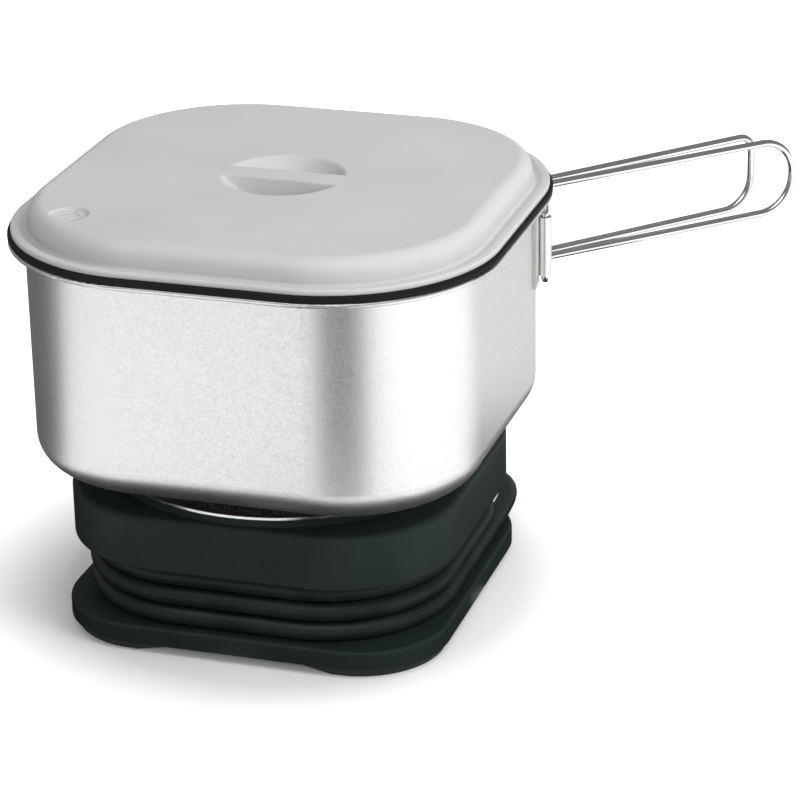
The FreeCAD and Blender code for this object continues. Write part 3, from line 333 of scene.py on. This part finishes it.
def bowl_depth(x, y):
    """A round bowl with an eased rim."""
    bowl = GRIP_DEPTH * (1 - (math.hypot(x, y) / GRIP_RADIUS) ** GRIP_CURVE)
    blend = max(GRIP_RIM - abs(bowl), 0.0) / GRIP_RIM
    return max(bowl, 0.0) + blend * blend * GRIP_RIM / 4


def grip_depth(x, y):
    """Two finger scoops: the bowl with a bar left standing across it."""
    return bowl_depth(x, y) * ease(abs(y), BAR_TOP, BAR_FOOT)


def vent_depth(x, y):
    """A shallow round dish with three slots along the diagonal."""
    east, north = x - VENT[0], y - VENT[1]
    depth = DISH_DEPTH * ease(math.hypot(east, north), DISH_RIM, DISH_FLOOR)
    along, across = (east + north) * math.sqrt(0.5), (north - east) * math.sqrt(0.5)
    for row in (-1, 0, 1):
        side = abs(across - row * SLOT_PITCH)
        depth += SLOT_DEPTH * ease(side, *SLOT_SIDES) * ease(abs(along), *SLOT_ENDS)
    return depth


def vent_boss(x, y):
    """Room for the slots under the dish."""
    return BOSS_DEPTH * ease(math.hypot(x - VENT[0], y - VENT[1]), BOSS_FOOT, BOSS_TOP)


def top_depth(x, y):
    return grip_depth(x, y) + vent_depth(x, y)


def under_depth(x, y):
    return bowl_depth(x, y) + vent_boss(x, y)


def no_depth(x, y):
    return 0.0


def top_roundness(half):
    """Corner radius over half width: full circles round the grip, the lid's own outline at its edge."""
    return 1.0 + (LID_CORNER / LID_EDGE - 1.0) * ease(half, CIRCLES_END, OUTLINE_START)


def arc_rings(half, corner, level, radius, start, stop, steps):
    """Rings round an arc of the lid's section; its angles, in degrees, lean outwards from straight up."""
    rings = []
    for k in range(steps + 1):
        turn = math.radians(start + (stop - start) * k / steps)
        out = radius * math.sin(turn)
        rings.append((half + out, corner + out, level + radius * math.cos(turn)))
    return rings


def edge_rings():
    """Rings as (half, corner, level): shoulder, gutter, flange, seat of the seal and wall in the pot."""
    shoulder = arc_rings(LID_EDGE, LID_CORNER, LID_TOP - SHOULDER, radius=SHOULDER, start=0.0, stop=90.0,
                         steps=14)
    side = [(0.0717, 0.0467, 0.1343)]
    gutter = arc_rings(0.0728, 0.0478, 0.1326, radius=0.0010, start=-90.0, stop=-180.0, steps=7)
    flange = [(0.0733, 0.0483, 0.1317), (0.0739, 0.0488, 0.1321), (0.0745, 0.0493, 0.1324),
              (0.0751, 0.0498, 0.1325)]
    rim = arc_rings(0.0764, 0.0509, 0.1319, radius=0.0006, start=0.0, stop=90.0, steps=6)
    seat = [(0.0770, 0.0515, 0.1309), (0.0768, 0.0513, 0.1307), (0.0702, 0.0409, 0.1307)]
    outer_wall = [(0.0699, 0.0406, 0.1304), (0.0699, 0.0406, 0.1261), (0.0696, 0.0403, 0.1257)]
    inner_wall = [(0.0684, 0.0391, 0.1257), (0.0681, 0.0388, 0.1261), (0.0681, 0.0388, 0.1352)]
    cove = [(0.0676, 0.0383, 0.1369), (0.0662, 0.0369, 0.1376)]
    return shoulder + side + gutter + flange + rim + seat + outer_wall + inner_wall + cove


def lid_rings():
    """Rings as (half, corner, level, depth); depth is the function that is carved into the level."""
    halves = []
    for low, high, step in RING_STEPS:
        halves += [low + step * k for k in range(round((high - low) / step))]
    under_halves = [half for half in reversed(halves[::UNDER_EVERY]) if half < UNDER_EDGE]
    rings = [(half, half * top_roundness(half), LID_TOP, top_depth) for half in halves]
    rings += [(*ring, no_depth) for ring in edge_rings()]
    rings += [(half, half * top_roundness(half) * UNDER_ROUNDNESS, LID_TOP - LID_WALL, under_depth)
              for half in under_halves]
    return rings


def ring_skin(name, rings, places, material):
    """A closed skin over rings of rounded squares, with each ring's depth carved into its level."""
    points, faces = [], []
    count = len(places)
    for half, corner, level, depth in rings:
        for bearing in places:
            reach = ring_reach(half, corner, bearing)
            x, y = reach * math.cos(bearing), reach * math.sin(bearing)
            points.append((x, y, level - depth(x, y)))
    last = (len(rings) - 1) * count
    for first in range(0, last, count):
        for k in range(count):
            here, there = first + k, first + (k + 1) % count
            faces.append((here, here + count, there + count, there))
    faces.append(tuple(range(count)))
    faces.append(tuple(reversed(range(last, last + count))))
    piece = new_mesh(name, points, faces, material)
    piece.data.shade_smooth()
    return piece


def add_lid(material):
    lid = ring_skin("lid_moulding", lid_rings(), bearings(), material)
    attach(lid, "lid")
    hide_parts("lid_cover")


# Wire handle loops, bent from round wire

WIRE_RADIUS = 0.00125
PIN_LENGTH = 0.0085
LOOP_HEIGHT = 0.0248
PIN_BEND = 0.0024
ELBOW_BEND = 0.006
END_RUN = 0.0001
ROUND_END = (LOOP_HEIGHT - END_RUN) / 2
BEND_STEPS = 14
PIVOT = (0.073001, 0.041419)
ELBOW_REACH = 0.091894
ELBOW_OFFSET = 0.003


def bent_path(points, bends):
    """The points' straight runs with a round bend of the given radius at each inner point."""
    corners = [Vector(point) for point in points]
    path = [corners[0]]
    for before, corner, after, radius in zip(corners, corners[1:], corners[2:], bends):
        one, two = (before - corner).normalized(), (after - corner).normalized()
        opening = one.angle(two)
        cut = radius / math.tan(opening / 2)
        middle = corner + (one + two).normalized() * (radius / math.sin(opening / 2))
        start, stop = corner + one * cut - middle, corner + two * cut - middle
        sweep = start.angle(stop)
        for k in range(BEND_STEPS + 1):
            share = k / BEND_STEPS
            swung = start * math.sin((1 - share) * sweep) + stop * math.sin(share * sweep)
            path.append(middle + swung / math.sin(sweep))
    path.append(corners[-1])
    return path


def add_wire(name, body, node, pivot, elbow, bearing, reach, top, tip_bends, material):
    """One loop: a pin in each knuckle, the runs to the elbow, and the grip's two runs round its tip."""
    turn = math.radians(bearing)
    tip = (elbow[0] + reach * math.cos(turn), elbow[1] + reach * math.sin(turn))
    low = top - LOOP_HEIGHT
    points = [(*pivot, top - PIN_LENGTH), (*pivot, top), (*elbow, top), (*tip, top),
              (*tip, low), (*elbow, low), (*pivot, low), (*pivot, low + PIN_LENGTH)]
    bends = [PIN_BEND, ELBOW_BEND, *tip_bends, ELBOW_BEND, PIN_BEND]
    wire = new_tube(name, "POLY", bent_path(points, bends), WIRE_RADIUS, material)
    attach(wire, body)
    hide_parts(node)


def add_handle(material):
    """Two loops whose pins and elbows mirror each other across the pot's diagonal."""
    diagonal = math.sqrt(0.5)
    elbow = ((ELBOW_REACH + ELBOW_OFFSET) * diagonal, (ELBOW_REACH - ELBOW_OFFSET) * diagonal)
    add_wire("handle_wire_near", "handle_near", "handle_loop_near", PIVOT, elbow,
             bearing=45.0, reach=0.0967, top=0.1211, tip_bends=(ROUND_END, ROUND_END), material=material)
    add_wire("handle_wire_far", "handle_far", "handle_loop_far", PIVOT[::-1], elbow[::-1],
             bearing=48.0, reach=0.0873, top=0.1205, tip_bends=(0.005, 0.011), material=material)


# Floor, lights and the world around

FLOOR_HALF = 6.0
# Painted light on the floor: its glow for the camera rises between these distances from the middle and fades
# the base's cast shadow beyond them
GLOW_DISTANCES = (0.074, 0.125)
FLOOR_GLOW = (0.04, 0.7)
MIRRORED_GLOW = 0.39
WORLD_GLOW = 0.25
WHITE = (1.0, 1.0, 1.0, 1.0)
CARD_LEVEL, NEAR_LEVEL = 0.002, 0.0025
NEAR_CARDS = 8


def combine(tree, operation, *sources):
    """One step of arithmetic on sockets and plain numbers."""
    node = tree.nodes.new("ShaderNodeMath")
    node.operation = operation
    for socket, source in zip(node.inputs, sources):
        if isinstance(source, float):
            socket.default_value = source
        else:
            tree.links.new(source, socket)
    return node.outputs["Value"]


def floor_glow(tree):
    """Painted light on the floor: a glow for the camera that grows away from the base and fades the cast
    shadow beyond a short reach, and an even glow for mirrors and glass.
    """
    place = tree.nodes.new("ShaderNodeTexCoord")
    away = tree.nodes.new("ShaderNodeVectorMath")
    away.operation = "LENGTH"
    tree.links.new(place.outputs["Object"], away.inputs[0])
    rays = tree.nodes.new("ShaderNodeLightPath").outputs
    growing = spread(tree, away.outputs["Value"], GLOW_DISTANCES, FLOOR_GLOW)
    seen = combine(tree, "MULTIPLY", rays["Is Camera Ray"], growing)
    mirrored = combine(tree, "MAXIMUM", rays["Is Glossy Ray"], rays["Is Transmission Ray"])
    return combine(tree, "MULTIPLY_ADD", mirrored, MIRRORED_GLOW, seen)


def add_floor():
    material = surface("floor_white", (0.90, 0.90, 0.90), (0.92, 0.92, 0.92), (0.7, 0.8), patch=2.0,
                       grain=60.0, depth=0.00002, strength=0.05, specular=0.1)
    tree = material.node_tree
    shader = tree.nodes["Principled BSDF"]
    shader.inputs["Emission Color"].default_value = WHITE
    # Painted light: the floor glows most away from the base, where it fades the cast shadow
    tree.links.new(floor_glow(tree), shader.inputs["Emission Strength"])
    corners = [(x * FLOOR_HALF, y * FLOOR_HALF, 0.0) for x, y in ((-1, -1), (1, -1), (1, 1), (-1, 1))]
    floor = new_mesh("floor", corners, [(0, 1, 2, 3)], material)


def add_light(name, place, target, size, power):
    """A soft lamp that mirrors don't show."""
    data = bpy.data.lights.new(name, "AREA")
    data.shape = "RECTANGLE"
    data.size, data.size_y = size
    data.energy = power
    light = new_object(name, data)
    light.location = place
    light.rotation_euler = (Vector(target) - Vector(place)).to_track_quat("-Z", "Y").to_euler()
    light.visible_glossy = False


def add_card(name, corners, shade, glow=0.0):
    """A flat card that only the shiny pieces see: a painted reflection, dark or bright, that casts no shadow
    and lights no dull surface.
    """
    material, shader = new_material(name)
    shader.inputs["Base Color"].default_value = (shade, shade, shade, 1.0)
    shader.inputs["Roughness"].default_value = 0.9
    shader.inputs["Emission Color"].default_value = WHITE
    shader.inputs["Emission Strength"].default_value = glow
    card = new_mesh(name, corners, [(0, 1, 2, 3)], material)
    card.visible_camera = False
    card.visible_diffuse = False
    card.visible_shadow = False
    card.visible_transmission = False


def sector(near, far, start, stop, level=CARD_LEVEL):
    """Corners of a floor patch between two distances and two bearings from the middle of the base."""
    corners = []
    for reach, bearing in ((near, start), (far, start), (far, stop), (near, stop)):
        turn = math.radians(bearing)
        corners.append((reach * math.cos(turn), reach * math.sin(turn), level))
    return corners


def add_lights():
    middle = (0.0, 0.0, 0.08)
    lid_side = (0.06, 0.0, 0.13)
    add_light("top_light", (0.15, 0.30, 1.5), middle, size=(1.5, 1.5), power=10.6)
    add_light("front_light", (0.1, -1.5, 0.75), middle, size=(1.2, 0.8), power=7.6)
    add_light("right_light", (1.4, -0.3, 0.9), middle, size=(0.8, 1.2), power=19.8)
    add_light("back_light", (0.75, 1.3, 0.45), lid_side, size=(0.8, 0.6), power=4.6)


def add_cards():
    """Painted reflections: dark, grey and bright cards that only mirrors see draw the bands on the pot and
    the lines on the wires; the bright ones glow as painted highlights, though no lamp.
    """
    add_card("dark_front", sector(0.20, 1.6, -89.0, -56.0), shade=0.085)
    add_card("dark_left", sector(0.13, 1.6, 120.0, 203.0), shade=0.10)
    add_card("dark_back", sector(0.10, 0.20, 22.0, 68.0), shade=0.05)
    add_card("dark_behind", sector(0.24, 1.6, 84.0, 119.0), shade=0.03)
    add_card("grey_back", sector(0.20, 0.9, 36.0, 86.0), shade=0.82)
    # Painted highlight: a glowing card that only reflections show
    add_card("bright_right", sector(0.16, 1.6, -43.0, 8.0), shade=0.9, glow=0.48)
    # Painted highlight overhead, standing in for the top lamp's reflection, which mirrors don't show
    overhead = [(-0.7, -1.4, 1.3), (0.9, -1.4, 1.3), (0.9, -0.15, 1.3), (-0.7, -0.15, 1.3)]
    add_card("bright_top", overhead, shade=0.9, glow=1.3)
    # Painted shade: dark cards on the floor round the base, seen only in reflections, stand for the base's
    # shadow on the floor as the pot's lower wall mirrors it
    width = 360.0 / NEAR_CARDS
    for turn in range(NEAR_CARDS):
        near_base = sector(0.066, 0.145, turn * width, turn * width + width, NEAR_LEVEL)
        add_card(f"dark_near_{turn}", near_base, shade=0.02)


def add_world():
    world = bpy.data.worlds.new("studio")
    world.use_nodes = True
    back = world.node_tree.nodes["Background"]
    back.inputs["Color"].default_value = WHITE
    back.inputs["Strength"].default_value = WORLD_GLOW
    bpy.context.scene.world = world


def main():
    bpy.context.scene.view_settings.view_transform = "Standard"
    materials = make_materials()
    add_camera()
    add_cord(materials["cord_rubber"])
    dress_nodes(materials)
    add_lid(materials["lid_plastic"])
    add_handle(materials["wire_steel"])
    add_floor()
    add_lights()
    add_cards()
    add_world()


main()
